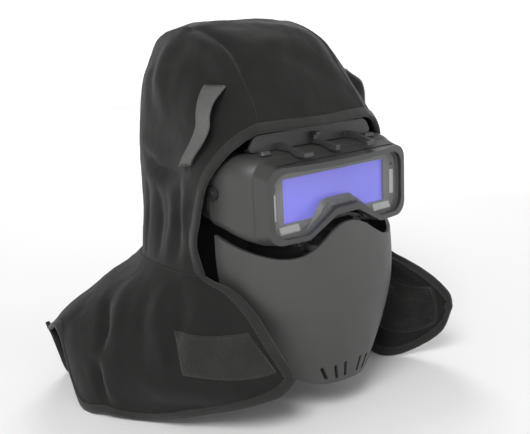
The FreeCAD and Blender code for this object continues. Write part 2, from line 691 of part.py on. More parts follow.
save("crown_gusset", cloth(crown_surface(), (9, 26)))
save("side_panel_left", cloth(left_side_surface()))
save("side_panel_right", cloth(right_side_surface()))
save("bib_right", cloth(right_bib_surface(), (30, 16)))
save("bib_left", cloth(left_bib_surface(), (30, 16)))
save("bib_back", cloth(back_bib_surface(), (20, 16)))
save("opening_binding", *opening_binding())
save("hem_binding_right", *bib_binding(right_bib_surface()))
save("hem_binding_left", *bib_binding(left_bib_surface()))
save("hem_binding_back", tape(back_bib_surface(), along_u(0.01, 0.99, 0.94, 0.99), (30, 4)))
save("hook_strip", tape(right_bib_surface(), ((0.316, 0.337), (0.036, 0.5), (0.036, 0.9),
                                              (0.329, 0.639)), (10, 8)))
save("loop_strip", inner_tape(left_bib_surface(), ((0.185, 0.341), (0.012, 0.64), (0.11, 0.91),
                                                   (0.403, 0.753)), (12, 10)))
save("brow_tape", inner_tape(crown_surface(), along_u(0.06, 0.94, 0.012, 0.085), (20, 5)))
save("webbing_loop_left", webbing_loop(FLAT_LOOP))
save("webbing_loop_right", mirrored(webbing_loop(LOOSE_LOOP)))

save("goggle_housing", goggle_housing())
save("brow_guard", brow_guard())
save("brow_guard_screws", *[brow_screw(x, y) for x, y in SCREWS])
save("adapter_rail_left", mirrored(adapter_rail()))
save("adapter_rail_right", adapter_rail())
save("centre_hook", centre_hook())
save("snap_studs", *both(snap_stud()))
save("filter_frame", filter_frame())
save("filter_glass", filter_glass())
save("solar_cells", *both(solar_cell()))
save("arc_sensors", *both(arc_sensor()))
save("battery_cells", *both(battery_cell()))
save("control_board", control_board())
save("nose_ledges", *both(nose_ledge()))
save("inner_lens", inner_lens())
save("filter_retainer", filter_retainer())
for name, (x, z) in zip(("shade_button", "sensitivity_button", "delay_button"), BUTTONS):
    save(name, control_button(x, z))
save("face_seal_frame", face_seal_frame())
save("face_seal", face_seal())
save("front_bezel", front_bezel())
save("cover_lens", cover_lens())
save("lens_gasket", lens_gasket())

save("mask_shell", mask_shell())
save("vent_baffle", vent_baffle())
save("chin_pad", chin_pad())
save("mask_bracket_left", mask_bracket())
save("mask_bracket_right", mirrored(mask_bracket()))
save("mask_pins", *both(mask_pin()))

save("head_strap", head_strap())
save("strap_slider", strap_slider())
save("strap_clip_left", strap_clip())
save("strap_clip_right", mirrored(strap_clip()))
save("strap_clip_pins", *both(clip_pin()))
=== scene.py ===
import json
import math

import bpy
import numpy as np
from mathutils import Matrix, Vector, noise


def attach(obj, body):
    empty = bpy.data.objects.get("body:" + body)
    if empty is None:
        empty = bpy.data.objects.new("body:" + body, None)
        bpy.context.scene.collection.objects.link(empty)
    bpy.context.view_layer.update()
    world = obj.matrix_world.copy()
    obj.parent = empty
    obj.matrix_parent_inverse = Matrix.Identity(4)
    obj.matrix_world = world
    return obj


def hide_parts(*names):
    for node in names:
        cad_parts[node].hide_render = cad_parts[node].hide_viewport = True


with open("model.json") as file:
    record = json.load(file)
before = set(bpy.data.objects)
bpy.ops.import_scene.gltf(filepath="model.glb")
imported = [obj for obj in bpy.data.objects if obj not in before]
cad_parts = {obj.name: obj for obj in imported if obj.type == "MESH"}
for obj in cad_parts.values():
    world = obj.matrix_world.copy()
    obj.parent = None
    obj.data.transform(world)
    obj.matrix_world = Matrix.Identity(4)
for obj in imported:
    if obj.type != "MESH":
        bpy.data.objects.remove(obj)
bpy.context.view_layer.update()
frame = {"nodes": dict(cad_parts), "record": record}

RNG = np.random.default_rng(7)

# Lengths below are millimetres in the goggles' own frame: origin at the middle of the filter
# window, +X to the wearer's left, +Y to the back of the head, +Z up.
SHIFT = np.array([0.0, -105.8, 174.5])


def metres(points):
    return (np.asarray(points, float) + SHIFT) / 1000.0


# ---- meshes ----------------------------------------------------------------------------
def make(name, verts, faces, material, body, slot, replaces=(), uv=None, sharp=40.0):
    mesh = bpy.data.meshes.new(name)
    mesh.from_pydata(metres(verts).tolist(), [], faces)
    mesh.validate()
    if uv is not None:
        layer = mesh.uv_layers.new(name="cloth")
        corner = np.zeros(len(mesh.loops), np.int32)
        mesh.loops.foreach_get("vertex_index", corner)
        layer.data.foreach_set("uv", (np.asarray(uv, float)[corner] / 1000.0).ravel())
    mesh.polygons.foreach_set("use_smooth", [True] * len(mesh.polygons))
    mesh.set_sharp_from_angle(angle=math.radians(sharp))
    mesh.materials.append(material)
    piece = bpy.data.objects.new(name, mesh)
    bpy.context.scene.collection.objects.link(piece)
    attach(piece, body)
    if replaces:
        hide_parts(*replaces)
    return piece


def quads(rows, columns, start=0, wrap=False):
    """Faces of a grid of vertices; wrap joins the last column to the first."""
    faces = []
    for i in range(rows - 1):
        for j in range(columns if wrap else columns - 1):
            k = (j + 1) % columns
            faces.append((start + i * columns + j, start + i * columns + k,
                          start + (i + 1) * columns + k, start + (i + 1) * columns + j))
    return faces


def closed_sheet(outer, inner):
    """Vertices and faces of a sheet between two grids."""
    rows, columns = outer.shape[:2]
    verts = np.concatenate([outer.reshape(-1, 3), inner.reshape(-1, 3)])
    faces = quads(rows, columns)
    under = [tuple(reversed(f)) for f in quads(rows, columns, rows * columns)]
    rim = ([(0, j) for j in range(columns)] + [(i, columns - 1) for i in range(1, rows)]
           + [(rows - 1, j) for j in range(columns - 2, -1, -1)]
           + [(i, 0) for i in range(rows - 2, 0, -1)])
    sides = []
    for (a, b), (c, d) in zip(rim, rim[1:] + rim[:1]):
        p, q, n = a * columns + b, c * columns + d, rows * columns
        sides.append((p, p + n, q + n, q))
    return verts, faces + under + sides


def tube(rings, closed=False, caps=True):
    """Vertices and faces of a tube through rings of points (count, ring size, 3)."""
    rings = np.asarray(rings, float)
    count, size = rings.shape[:2]
    faces = quads(count, size, wrap=True)
    if closed:
        last = (count - 1) * size
        faces += [(last + j, last + (j + 1) % size, (j + 1) % size, j) for j in range(size)]
    elif caps:
        faces.append(tuple(range(size - 1, -1, -1)))
        faces.append(tuple((count - 1) * size + j for j in range(size)))
    return rings.reshape(-1, 3), faces


def together(parts):
    """Several (verts, faces) pairs as one."""
    verts, faces, start = [], [], 0
    for v, f in parts:
        verts.append(np.asarray(v, float))
        faces += [tuple(i + start for i in face) for face in f]
        start += len(v)
    return np.concatenate(verts), faces


def catmull(points, steps):
    """Smooth curve (or surface rows) through points along the first axis."""
    p = np.asarray(points, float)
    e = np.concatenate([[2 * p[0] - p[1]], p, [2 * p[-1] - p[-2]]])
    t = (np.arange(steps) / steps).reshape((-1,) + (1,) * (p.ndim - 1))
    out = []
    for a, b, c, d in zip(e, e[1:], e[2:], e[3:]):
        out.append(0.5 * (2 * b + (c - a) * t + (2 * a - 5 * b + 4 * c - d) * t ** 2
                          + (b * 3 - a - c * 3 + d) * t ** 3))
    return np.concatenate(out + [p[-1:]])


def dense(net, steps_u, steps_v):
    g = catmull(net, steps_u)
    return catmull(g.transpose(1, 0, 2), steps_v).transpose(1, 0, 2)


def unit(vectors):
    return vectors / np.maximum(np.linalg.norm(vectors, axis=-1, keepdims=True), 1e-9)


def normals(grid, centre=(0, 105, -20)):
    """Outward unit normals of a grid, away from the middle of the head."""
    n = unit(np.cross(np.gradient(grid, axis=0), np.gradient(grid, axis=1)))
    middle = grid[grid.shape[0] // 2, grid.shape[1] // 2]
    if np.dot(n[grid.shape[0] // 2, grid.shape[1] // 2], middle - np.array(centre)) < 0:
        n = -n
    return n


def sample(grid, a, b):
    """Grid values at fractional positions a (0..1 along rows) and b (0..1 along columns)."""
    rows, columns = grid.shape[:2]
    a, b = np.clip(a, 0, 1) * (rows - 1), np.clip(b, 0, 1) * (columns - 1)
    i, j = np.minimum(a.astype(int), rows - 2), np.minimum(b.astype(int), columns - 2)
    s, t = (a - i)[..., None], (b - j)[..., None]
    return ((grid[i, j] * (1 - s) + grid[i + 1, j] * s) * (1 - t)
            + (grid[i, j + 1] * (1 - s) + grid[i + 1, j + 1] * s) * t)


def rough(points, scale, seed=0.0):
    """Smooth noise from -1 to 1 at points, with features about scale mm across."""
    flat = np.asarray(points, float).reshape(-1, 3) / scale + seed
    return np.array([noise.noise(Vector(p)) for p in flat]).reshape(np.shape(points)[:-1])


# ---- materials -------------------------------------------------------------------------
class Shader:
    """A node material with short calls for the nodes used here."""

    def __init__(self, name, **surface):
        self.material = bpy.data.materials.new(name)
        self.material.use_nodes = True
        self.tree = self.material.node_tree
        self.surface = self.tree.nodes["Principled BSDF"]
        for key, value in surface.items():
            self.surface.inputs[key.replace("_", " ")].default_value = value
        self.place = self.add("ShaderNodeTexCoord").outputs["Object"]
        self.cloth = None

    def add(self, kind, values=None, **settings):
        node = self.tree.nodes.new(kind)
        for key, value in settings.items():
            setattr(node, key, value)
        for key, value in (values or {}).items():
            if isinstance(value, bpy.types.NodeSocket):
                self.tree.links.new(value, node.inputs[key])
            else:
                node.inputs[key].default_value = value
        return node

    def noise(self, scale, detail=2.0, where=None, stretch=None):
        where = where or self.place
        if stretch:
            where = self.add("ShaderNodeMapping", {"Vector": where, "Scale": stretch}).outputs[0]
        return self.add("ShaderNodeTexNoise", {"Vector": where, "Scale": scale,
                                               "Detail": detail}).outputs["Fac"]

    def ramp(self, factor, stops):
        node = self.add("ShaderNodeValToRGB", {"Fac": factor})
        ramp = node.color_ramp
        ramp.elements[0].position, ramp.elements[0].color = stops[0][0], (*stops[0][1], 1)
        ramp.elements[1].position, ramp.elements[1].color = stops[-1][0], (*stops[-1][1], 1)
        for position, colour in stops[1:-1]:
            ramp.elements.new(position).color = (*colour, 1)
        return node.outputs["Color"]

    def math(self, operation, a, b=0.5):
        return self.add("ShaderNodeMath", {0: a, 1: b}, operation=operation).outputs[0]

    def bump(self, height, distance, strength=1.0):
        """Adds a bump under the ones already there; distance in metres."""
        node = self.add("ShaderNodeBump", {"Height": height, "Distance": distance,
                                           "Strength": strength})
        link = self.surface.inputs["Normal"].links
        if link:
            self.tree.links.new(link[0].from_socket, node.inputs["Normal"])
        self.tree.links.new(node.outputs[0], self.surface.inputs["Normal"])

    def set(self, socket, output):
        self.tree.links.new(output, self.surface.inputs[socket])


def grey(value, warm=0.0):
    return (value * (1 + warm), value * (1 + warm * 0.6), value * (1 - warm), 1.0)


def spread(value, share, warm=0.0):
    """Dark and light stops around a grey, for a mottled ramp."""
    low, high = value * (1 - share), value * (1 + share)
    return [(0.3, grey(low, warm)[:3]), (0.7, grey(high, warm)[:3])]


def cloth_material(name, value, weave=0.00075, share=0.16, sheen=0.25, depth=0.00012):
    s = Shader(name, Roughness=0.92, Specular_IOR_Level=0.25, Sheen_Weight=sheen,
               Sheen_Roughness=0.45, Sheen_Tint=(0.8, 0.82, 0.8, 1))
    uv = s.add("ShaderNodeUVMap", uv_map="cloth").outputs[0]
    s.set("Base Color", s.ramp(s.noise(55, 6), spread(value, share, 0.03)))
    warp = s.add("ShaderNodeTexWave", {"Vector": uv, "Scale": 0.31 / weave, "Distortion": 0.6,
                                       "Detail": 1.0, "Detail Scale": 3.0}, wave_type="BANDS",
                 bands_direction="DIAGONAL").outputs["Fac"]
    weft = s.add("ShaderNodeTexWave", {"Vector": uv, "Scale": 0.31 / weave}, wave_type="BANDS",
                 bands_direction="Y").outputs["Fac"]
    s.bump(s.math("MULTIPLY", warp, weft), depth, 0.9)
    s.bump(s.noise(700, 3), 0.0002, 0.35)
    s.bump(s.noise(90, 4), 0.0012, 0.25)
    return s.material


def plastic_material(name, value, roughness, stipple=0.00005, scale=2600, share=0.06, warm=0.02):
    s = Shader(name, Roughness=roughness, Specular_IOR_Level=0.5)
    s.set("Base Color", s.ramp(s.noise(40, 5), spread(value, share, warm)))
    s.set("Roughness", s.add("ShaderNodeMapRange", {"Value": s.noise(120, 4), "To Min":
                             roughness - 0.05, "To Max": roughness + 0.07}).outputs[0])
    s.bump(s.noise(scale, 2), stipple, 0.8)
    s.bump(s.noise(260, 3), 0.00008, 0.4)
    return s.material


def steel_material(name, value, roughness):
    s = Shader(name, Base_Color=grey(value), Metallic=1.0, Roughness=roughness)
    s.bump(s.noise(900, 3, stretch=(1, 1, 8)), 0.00004, 0.6)
    return s.material


M = {
    "hood_cloth": cloth_material("hood_cloth", 0.011, sheen=0.12),
    "binding_tape": cloth_material("binding_tape", 0.020, weave=0.0006, sheen=0.3),
    "hook_tape": cloth_material("hook_tape", 0.022, weave=0.0011, sheen=0.35, depth=0.0003),
    "loop_tape": cloth_material("loop_tape", 0.010, weave=0.0009, share=0.5, sheen=0.5),
    "webbing": cloth_material("webbing", 0.085, weave=0.0012, sheen=0.3, depth=0.0003),
    "elastic_strap": cloth_material("elastic_strap", 0.02, weave=0.0015, depth=0.0003),
    "baffle_mesh": cloth_material("baffle_mesh", 0.008, weave=0.001),
    "stitch": cloth_material("stitch", 0.042, weave=0.0004, sheen=0.15),
    "housing_plastic": plastic_material("housing_plastic", 0.040, 0.46),
    "bezel_plastic": plastic_material("bezel_plastic", 0.038, 0.36, stipple=0.00002),
    "mask_plastic": plastic_material("mask_plastic", 0.046, 0.48),
    "clip_plastic": plastic_material("clip_plastic", 0.02, 0.4),
    "cartridge_plastic": plastic_material("cartridge_plastic", 0.07, 0.42, stipple=0.00002),
    "ledge_plastic": plastic_material("ledge_plastic", 0.26, 0.4, share=0.12),
    "solar_cell": plastic_material("solar_cell", 0.42, 0.35, share=0.1),
    "sensor_window": plastic_material("sensor_window", 0.01, 0.12),
    "board": plastic_material("board", 0.03, 0.4),
    "gasket_rubber": plastic_material("gasket_rubber", 0.02, 0.7),
    "seal_foam": plastic_material("seal_foam", 0.022, 0.95, stipple=0.0006, scale=1200),
    "button_rubber": plastic_material("button_rubber", 0.1, 0.6),
    "screw_steel": steel_material("screw_steel", 0.45, 0.35),
    "cell_steel": steel_material("cell_steel", 0.6, 0.25),
}


def glass_material(name, colour, roughness, alpha):
    s = Shader(name, Base_Color=(*colour, 1), Roughness=roughness, IOR=1.5, Alpha=alpha)
    s.bump(s.noise(300, 2), 0.00001, 0.2)
    return s.material


M["clear_lens"] = glass_material("clear_lens", (0.9, 0.92, 0.95), 0.04, 0.05)


def filter_material():
    """The dark filter: violet-blue, a little uneven, with a painted violet-blue glow (emission) that
    stands in for its reflection.
    """
    s = Shader("filter_glass", Roughness=0.22, IOR=1.5, Coat_Weight=0.3, Coat_Roughness=0.08)
    s.set("Base Color", s.ramp(s.noise(14, 3), [(0.3, (0.095, 0.085, 0.53)),
                                                 (0.7, (0.115, 0.105, 0.60))]))
    # painted reflection: the filter emits a violet-blue glow, though it is no lamp
    s.set("Emission Color", s.ramp(s.noise(9, 2), [(0.3, (0.10, 0.095, 0.60)),
                                                   (0.7, (0.12, 0.115, 0.66))]))
    s.surface.inputs["Emission Strength"].default_value = 0.4
    return s.material


M["filter_glass"] = filter_material()

# ---- cloth hood ------------------------------------------------------------------------
CROWN_SEAM = [(55.5, 19.5, 50), (50.5, 40.4, 83.4), (50.4, 64, 109), (50, 98, 120.5),
              (50, 132, 122), (46, 165, 112), (51, 181, 84), (54, 187, 52), (55, 190, 15),
              (56, 190.5, -22), (57, 188, -62)]
CROWN_QUARTER = [(29, 15.5, 50), (26, 34, 83.5), (26, 57, 111.5), (26, 94, 123.6),
                 (26, 132, 125.6), (25, 171, 115), (27, 188, 85.5), (30, 195, 53),
                 (30, 197.5, 15), (30, 197, -22), (30, 194.5, -62)]
CROWN_MIDDLE = [(0, 13.5, 49.5), (0, 31, 82.5), (0, 54, 111.5), (0, 92, 124.2), (0, 132, 126),
                (0, 173, 115), (0, 190.5, 86), (0, 198, 53), (0, 200, 15), (0, 199.5, -22),
                (0, 197, -62)]
SIDE = [
    [(56.8, 20, 49), (52, 41, 82.6), (51.8, 65, 107.6), (51.6, 98, 119), (51.5, 131, 120.6),
     (47.6, 164.5, 110.6)],
    [(69, 24, 44), (65, 47, 71), (63, 72, 95), (63, 100, 105), (62.5, 132, 106.5),
     (49.8, 171.5, 100)],
    [(81.5, 33, 31), (80, 55, 54), (76.5, 80, 75), (77, 108, 82), (73, 140, 83), (52.8, 180.3, 82)],
    [(88.8, 43.5, 13), (87, 64, 31), (82.5, 90, 46), (80, 116, 49), (76, 147, 49), (55.6, 185.8, 52)],
    [(91, 51, -13), (89.5, 73, 1), (84, 98, 11), (80.5, 124, 13), (75, 153, 13), (57.0, 188.6, 15)],
    [(91, 59, -36), (90, 79, -28), (88, 103, -22), (84, 130, -21), (76, 157, -21),
     (57.4, 189.2, -22)],
    [(88, 54, -57), (96, 75, -56), (97, 100, -56), (92, 128, -58), (80, 159, -61),
     (58.4, 186.8, -61.6)]]
RIGHT_BIB = [
    [(88, 53, -59.5), (82, 29, -64), (75, 12, -79), (69.5, 1, -97), (61.5, -2, -113),
     (58, -14, -129)],
    [(93, 64, -58.5), (95, 46, -72), (92, 28, -90), (87, 13, -108), (80, 1, -125), (73, -9, -140)],
    [(96, 76, -58), (104, 62, -77), (106, 46, -98), (104, 32, -118), (99, 19, -137),
     (92, 14, -151)],
    [(98, 90, -58), (112, 80, -80), (119, 68, -103), (121, 56, -126), (118, 47, -147),
     (112, 44, -162)],
    [(97, 108, -59), (118, 102, -82), (131, 95, -106), (137, 88, -130), (136, 82, -152),
     (129, 80, -172)],
    [(92, 126, -60), (117, 124, -80), (137, 121, -103), (148, 118, -128), (151, 115, -151),
     (150, 112, -171)],
    [(84, 148, -62.5), (110, 150, -79), (133, 152, -97), (149, 153, -117), (156, 150, -140),
     (157, 145, -171)],
    [(78, 160, -64), (104, 168, -78), (126, 174, -93), (142, 178, -105), (150, 180, -114),
     (154, 181, -119)],
    [(73, 170, -65), (98, 181, -79), (119, 191, -94), (135, 202, -108), (144, 208, -118),
     (150, 214, -127)]]
LEFT_FLAP = [
    [(88, 53, -59.5), (92, 36, -73), (103, 18, -85), (115, 5, -97), (125, -5, -112),
     (128, -7, -124)],
    [(92, 62, -58.5), (99, 48, -78), (108, 34, -98), (117, 20, -118), (124, 8, -136),
     (126, 4, -150)],
    [(95, 72, -58), (104, 60, -82), (108, 46, -106), (110, 33, -130), (111, 26, -151),
     (110, 24, -168)],
    [(97, 82, -58), (109, 74, -84), (112, 62, -110), (106, 50, -134), (98, 44, -156),
     (92, 42, -174)],
    [(98, 94, -58), (116, 90, -84), (124, 82, -108), (118, 74, -132), (108, 72, -154),
     (103, 74, -174)],
    [(97, 108, -59), (120, 106, -84), (134, 104, -106), (138, 102, -129), (136, 102, -152),
     (134, 102, -174)]]
BACK_BIB = [
    [(70.5, 172.5, -65), (96.5, 184, -80), (118, 194, -95.5), (136.5, 204.5, -110.5),
     (148.5, 216, -127), (147, 213, -150), (145, 209, -174.2)],
    [(50, 191, -65.5), (62, 203, -82), (74, 213, -99), (84, 220, -117), (91, 226, -135),
     (95, 229, -154), (97, 230, -174.2)],
    [(0, 199, -65.5), (0, 208, -82), (0, 216, -100), (0, 222, -118), (0, 227, -136),
     (0, 230, -155), (0, 232, -174.2)]]


def flip(points):
    return [(-x, y, z) for x, y, z in points]


GRIDS = {
    "crown": dense([CROWN_SEAM, CROWN_QUARTER, CROWN_MIDDLE, flip(CROWN_QUARTER),
                    flip(CROWN_SEAM)], 12, 12),
    "side_left": dense(SIDE, 10, 13),
    "side_right": dense([flip(row) for row in SIDE], 10, 13),
    "bib_right": dense([flip(column) for column in RIGHT_BIB], 13, 11),
    "bib_left": dense(LEFT_FLAP + RIGHT_BIB[5:], 12, 11),
    "bib_back": dense(BACK_BIB + [flip(column) for column in reversed(BACK_BIB[:-1])], 20, 9),
}
NORMALS = {name: normals(grid) for name, grid in GRIDS.items()}

# Folds: depth (+ outwards), half width, and the line that the fold follows.
FOLDS = [
    (-5.0, 5.0, [(-47, 100, 121), (-46, 78, 115), (-45, 62, 108), (-45, 52, 98), (-46, 44, 88),
                 (-49, 36, 77)]),
    (4.5, 6.5, [(-54, 112, 119), (-56, 90, 114), (-57, 74, 109), (-57, 62, 102), (-56, 52, 92)]),
    (-3.2, 8.0, [(-64, 100, 106), (-66, 80, 96), (-66, 64, 84), (-68, 54, 70)]),
    (2.2, 9.0, [(-60, 122, 112), (-70, 118, 98), (-77, 112, 80), (-80, 105, 62)]),
    (-2.6, 9.0, [(-66, 135, 103), (-73, 132, 85), (-77, 125, 65)]),
    (-4.0, 5.0, [(-79, 140, 24), (-82, 115, 15), (-86, 90, 16), (-88, 70, 22)]),
    (3.0, 7.0, [(-78, 145, 34), (-81, 118, 27), (-84, 95, 30)]),
    (2.6, 7.0, [(-78, 140, 8), (-83, 115, 2), (-87, 90, 2)]),
    (-3.0, 5.0, [(-82, 118, -2), (-86, 112, -25), (-93, 108, -50)]),
    (2.6, 6.0, [(-87, 94, 0), (-90, 92, -22), (-95, 92, -50)]),
    (-3.0, 5.0, [(-88, 80, 8), (-89, 82, -16), (-94, 80, -42)]),
    (2.4, 5.0, [(-90, 66, 4), (-91, 70, -18), (-94, 70, -44)]),
    (-2.4, 5.0, [(-79, 140, 0), (-82, 138, -25), (-88, 132, -55)]),
    (-6.0, 5.0, [(-128, 140, -92), (-138, 126, -105), (-145, 122, -118)]),
    (3.0, 7.0, [(-120, 128, -84), (-132, 114, -100), (-140, 106, -118)]),
    (-5.0, 4.5, [(-150, 122, -132), (-151.5, 118, -146), (-150, 112, -160)]),
    (-3.0, 7.0, [(-104, 62, -72), (-108, 58, -86), (-114, 58, -104), (-116, 54, -118)]),
    (2.6, 7.0, [(-108, 82, -72), (-117, 78, -92), (-122, 66, -112), (-120, 56, -130)]),
    (-2.6, 7.0, [(-112, 98, -74), (-125, 92, -96), (-131, 82, -118)]),
    (2.0, 8.0, [(-96, 50, -72), (-100, 44, -84), (-98, 34, -92)]),
    (2.4, 8.0, [(-132, 90, -140), (-122, 60, -140), (-108, 34, -140), (-94, 16, -138)]),
    (-2.4, 7.0, [(-136, 96, -156), (-122, 62, -154), (-108, 38, -150)]),
]
# folds on the far side and the back are quieter
FOLDS += [
    (-2.2, 7.0, [(47, 90, 121), (46, 66, 111), (46, 50, 95), (50, 38, 78)]),
    (2.6, 8.0, [(56, 110, 118), (60, 88, 110), (62, 66, 96), (62, 50, 78)]),
    (-2.4, 8.0, [(70, 120, 90), (78, 105, 66), (84, 84, 44)]),
    (2.6, 7.0, [(84, 120, 20), (86, 92, 26), (88, 70, 30)]),
    (-3.0, 6.0, [(80, 145, 8), (84, 118, 6), (88, 92, 6), (90, 72, 6)]),
    (2.4, 7.0, [(86, 112, -10), (90, 104, -34), (96, 102, -56)]),
    (-2.8, 6.0, [(88, 84, 0), (90, 84, -26), (96, 82, -54)]),
    (-2.4, 7.0, [(76, 152, 10), (78, 155, -24), (84, 150, -60)]),
    (-3.6, 7.0, [(100, 60, -66), (106, 60, -84), (110, 58, -104), (108, 52, -126)]),
    (3.0, 8.0, [(104, 46, -86), (112, 30, -100), (122, 8, -116)]),
    (-3.0, 7.0, [(115, 96, -74), (130, 100, -100), (136, 100, -130)]),
    (3.4, 9.0, [(112, 130, -74), (136, 130, -98), (148, 128, -128), (150, 124, -160)]),
    (-3.6, 8.0, [(105, 150, -72), (132, 156, -94), (150, 156, -124)]),
    (3.0, 9.0, [(60, 200, -78), (72, 212, -100), (88, 224, -140)]),
    (-3.4, 9.0, [(30, 200, -72), (34, 216, -104), (40, 228, -150)]),
    (3.2, 10.0, [(0, 200, -66), (-4, 216, -104), (-8, 230, -160)]),
    (-3.4, 9.0, [(-32, 202, -74), (-40, 216, -108), (-46, 228, -150)]),
    (3.0, 9.0, [(-62, 200, -78), (-76, 212, -102), (-90, 224, -140)]),
    (-3.0, 9.0, [(20, 197, 60), (-10, 200, 30), (-30, 197, -10)]),
    (2.6, 10.0, [(30, 194, 80), (0, 199, 50), (-30, 196, 20)]),
    (-2.4, 8.0, [(40, 190, -20), (10, 199, -40), (-20, 198, -55)]),
    (2.0, 9.0, [(30, 60, 112), (0, 80, 121), (-25, 100, 124)]),
    (-1.8, 9.0, [(36, 90, 121), (8, 112, 125), (-20, 128, 125)]),
    (-1.6, 8.0, [(40, 30, 72), (10, 40, 92), (-18, 48, 100)]),
    (1.6, 8.0, [(-30, 34, 76), (-12, 48, 102), (10, 70, 118)]),
]


def fold_height(points):
    """How far every fold together moves each point outwards."""
    flat = points.reshape(-1, 3)
    height = np.zeros(len(flat))
    for depth, width, line in FOLDS:
        curve = catmull(line, 8)
        along = np.linspace(0, 1, len(curve))
        gap = np.linalg.norm(flat[:, None, :] - curve[None, :, :], axis=2)
        nearest = gap.argmin(axis=1)
        s = along[nearest]
        taper = np.sin(np.pi * (0.12 + 0.76 * s)) ** 0.8
        height += depth * taper * np.exp(-(gap.min(axis=1) / width) ** 2)
    return height.reshape(points.shape[:-1])


def wrinkles(points):
    """Fine unevenness of worn cotton."""
    stretched = points * np.array([1.0, 1.0, 0.55])
    return (1.5 * rough(stretched, 42, 3.1) + 0.9 * rough(stretched, 21, 11.7)
            + 0.35 * rough(points, 9, 5.3) + 0.12 * rough(points, 4, 8.9))


SHAPED = {}
for name, grid in GRIDS.items():
    height = fold_height(grid) + wrinkles(grid) - 0.4
    SHAPED[name] = grid + NORMALS[name] * height[..., None]


def snap(edge, line):
    """Offsets that bring an edge's points onto a line of points."""
    gap = np.linalg.norm(edge[:, None, :] - line[None, :, :], axis=2)
    return line[gap.argmin(axis=1)] - edge


def sew(name, side, line, reach):
    """Draws one edge of a panel onto a seam line, fading over so many grid rows."""
    grid = SHAPED[name]
    view = {"first": grid, "last": grid[::-1], "left": grid.transpose(1, 0, 2),
            "right": grid.transpose(1, 0, 2)[::-1]}[side]
    delta = snap(view[0], line)
    for k in range(reach):
        fade = 0.5 + 0.5 * math.cos(math.pi * k / reach)
        view[k] += delta * fade


def fine(points, steps=6):
    return catmull(points, steps)


for side, name in ((0, "side_left"), (-1, "side_right")):
    seam = fine(SHAPED["crown"][side])
    sew(name, "first", seam, 5)
    sew(name, "right", seam, 5)
for name in ("bib_left", "bib_right"):
    above, row = ("side_left", 0) if name == "bib_left" else ("side_right", -1)
    neck = np.concatenate([SHAPED[above][-1], SHAPED["crown"][row, -6:]])
    sew(name, "left", fine(neck), 5)
sew("bib_back", "left", fine(np.concatenate([SHAPED["side_left"][-1, -8:], SHAPED["crown"][:, -1],
                                             SHAPED["side_right"][-1, ::-1][:8]])), 5)
for side, name in (("first", "bib_left"), ("last", "bib_right")):
    sew("bib_back", side, fine(SHAPED[name][-1]), 4)

CLOTH_T = 1.9
PANELS = {"crown": "crown_gusset", "side_left": "side_panel_left", "side_right":
          "side_panel_right", "bib_right": "bib_right", "bib_left": "bib_left",
          "bib_back": "bib_back"}
FACING = {}
pieces = {}


def sheet_uv(grid):
    """Flat position of every grid point, from its mean distances along rows and columns."""
    a = np.concatenate([[0], np.cumsum(np.linalg.norm(np.diff(grid, axis=0), axis=2).mean(1))])
    b = np.concatenate([[0], np.cumsum(np.linalg.norm(np.diff(grid, axis=1), axis=2).mean(0))])
    return np.stack(np.meshgrid(a, b, indexing="ij"), axis=2).reshape(-1, 2)


for name, node in PANELS.items():
    grid = SHAPED[name]
    FACING[name] = normals(grid)
    verts, faces = closed_sheet(grid, grid - FACING[name] * CLOTH_T)
    uv = sheet_uv(grid)
    pieces[node] = make("cloth_" + node, verts, faces, M["hood_cloth"], "hood", "hood_cloth",
                        [node], np.concatenate([uv, uv]))
    pieces[node]["flat"] = [float(v) for v in uv.max(0) / 1000]


def edge(name, side):
    """Edge points with the outward in-plane and surface directions."""
    grid, facing = SHAPED[name], FACING[name]
    if side in ("left", "right"):
        grid, facing = grid.transpose(1, 0, 2), facing.transpose(1, 0, 2)
    if side in ("last", "right"):
        grid, facing = grid[::-1], facing[::-1]
    out = unit(grid[0] - grid[2])
    n = facing[0]
    return grid[0], unit(out - n * (out * n).sum(1, keepdims=True)), n


def joined(*parts):
    return tuple(np.concatenate(p) for p in zip(*parts))


def resample(path, step):
    """Evenly spaced points (with their directions) along a path of edge frames."""
    points = path[0]
    s = np.concatenate([[0], np.cumsum(np.linalg.norm(np.diff(points, axis=0), axis=1))])
    at = np.linspace(0, s[-1], max(3, int(s[-1] / step)))
    return tuple(np.stack([np.interp(at, s, a[:, k]) for k in range(3)], axis=1) for a in path)


def smooth(values, passes):
    for _ in range(passes):
        values = np.concatenate([values[:1], (values[:-2] + values[1:-1] * 2 + values[2:]) / 4,
                                 values[-1:]])
    return values


BAND = [(-6.6, 0.05), (-6.5, 0.75), (-5.6, 0.72), (-4.6, 0.95), (-1.2, 1.05), (0.4, 0.75),
        (1.2, 0.0), (1.35, -1.0), (1.1, -2.0), (0.3, -2.7), (-1.2, -3.0), (-4.6, -2.85),
        (-5.6, -2.6), (-6.5, -2.65), (-6.6, -1.85)]


def binding(path, closed=False):
    """Folded tape along a path of edge frames, puckered along the line where the stitches go."""
    points, out, face = resample(path, 1.6)
    points = smooth(points, 2)
    out, face = unit(smooth(out, 6)), unit(smooth(face, 6))
    rings = []
    wave = rough(points, 7, 2.2) * 0.25
    for i, (p, o, n) in enumerate(zip(points, out, face)):
        pull = 0.12 * math.cos(i * 1.6 / 3.6 * 2 * math.pi)
        rings.append([p + o * (a + wave[i] * 0.5) + n * (b * (1 + 0.1 * wave[i])
                      + (pull if -6.2 < a < -4 and b > 0 else 0)) for a, b in BAND])
    return tube(rings, closed)


STITCH = np.array([(math.cos(a), math.sin(a)) for a in np.linspace(0, 2 * math.pi, 6, endpoint=False)])


